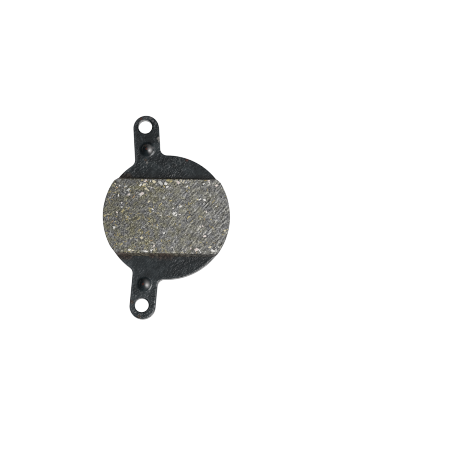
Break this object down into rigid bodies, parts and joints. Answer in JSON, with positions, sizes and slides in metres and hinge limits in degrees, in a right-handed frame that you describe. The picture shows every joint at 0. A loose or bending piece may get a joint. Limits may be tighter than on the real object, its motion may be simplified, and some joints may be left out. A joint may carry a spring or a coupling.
{
  "type": "bicycle disc brake pad",
  "caption": "Round steel backing plate with leaning ears, each with a pin hole and a pressed button, and a straight-ended friction lining bonded across its middle.",
  "frame": {"origin": "centre of the plate's round middle, on the plate's back", "axes": "+Z from the back to the friction face, +Y along the line through the ears, +X to the side without ears"},
  "size_m": [0.0294, 0.0476, 0.004],
  "materials": {
    "plate": "satin charcoal coat on blasted steel",
    "lining": "ground grey friction compound with mineral chips and brass slivers"
  },
  "bodies": {
    "root": {"backing_plate": "plate", "friction_lining": "lining"}
  },
  "joints": []
}
